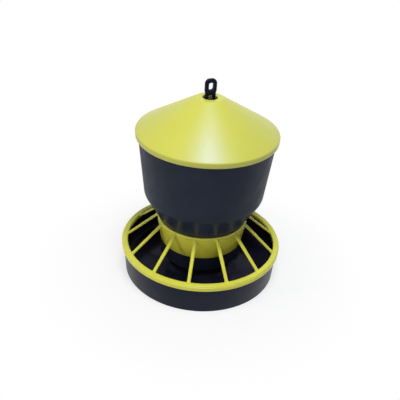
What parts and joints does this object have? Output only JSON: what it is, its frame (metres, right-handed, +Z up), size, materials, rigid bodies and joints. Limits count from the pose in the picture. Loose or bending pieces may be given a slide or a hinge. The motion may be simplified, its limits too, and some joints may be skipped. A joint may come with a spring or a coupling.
{
  "type": "poultry feeder",
  "caption": "Hanging or standing poultry feeder: round feed pan with a spoked anti-waste grill, tapered hopper with a conical lid, and a strap with a hanging eye.",
  "frame": {"origin": "centre of the ring on which the pan stands, on the ground", "axes": "+Z up along the feeder's axis, towards the hanging eye; the picture's front is -Y, with +X to its right"},
  "size_m": [0.36, 0.36, 0.45],
  "materials": {
    "lid_yellow": "satin",
    "grill_yellow": "semi-gloss",
    "hopper_black": "satin",
    "pan_black": "semi-gloss",
    "hanger_black": "satin",
    "fittings_black": "satin"
  },
  "bodies": {
    "base": {"feed_pan": "pan_black", "grill": "grill_yellow", "hanger": "hanger_black"},
    "hopper_unit": {"hopper": "hopper_black", "bridge": "fittings_black"},
    "lid_unit": {"lid": "lid_yellow"},
    "gap_pin_unit": {"gap_pin": "fittings_black"},
    "foot_pin_unit": {"foot_pin": "fittings_black"}
  },
  "joints": [
    {"name": "hopper_lift", "type": "slide", "parent": "base", "child": "hopper_unit", "axis": [0, 0, 1], "range_m": [0, 0.028]},
    {"name": "lid_lift", "type": "slide", "parent": "hopper_unit", "child": "lid_unit", "axis": [0, 0, 1], "range_m": [0, 0.13]},
    {"name": "gap_pin_pull", "type": "slide", "parent": "base", "child": "gap_pin_unit", "axis": [0.3746, -0.9272, 0], "range_m": [0, 0.018]},
    {"name": "foot_pin_pull", "type": "slide", "parent": "base", "child": "foot_pin_unit", "axis": [0.3746, -0.9272, 0], "range_m": [0, 0.018]}
  ]
}
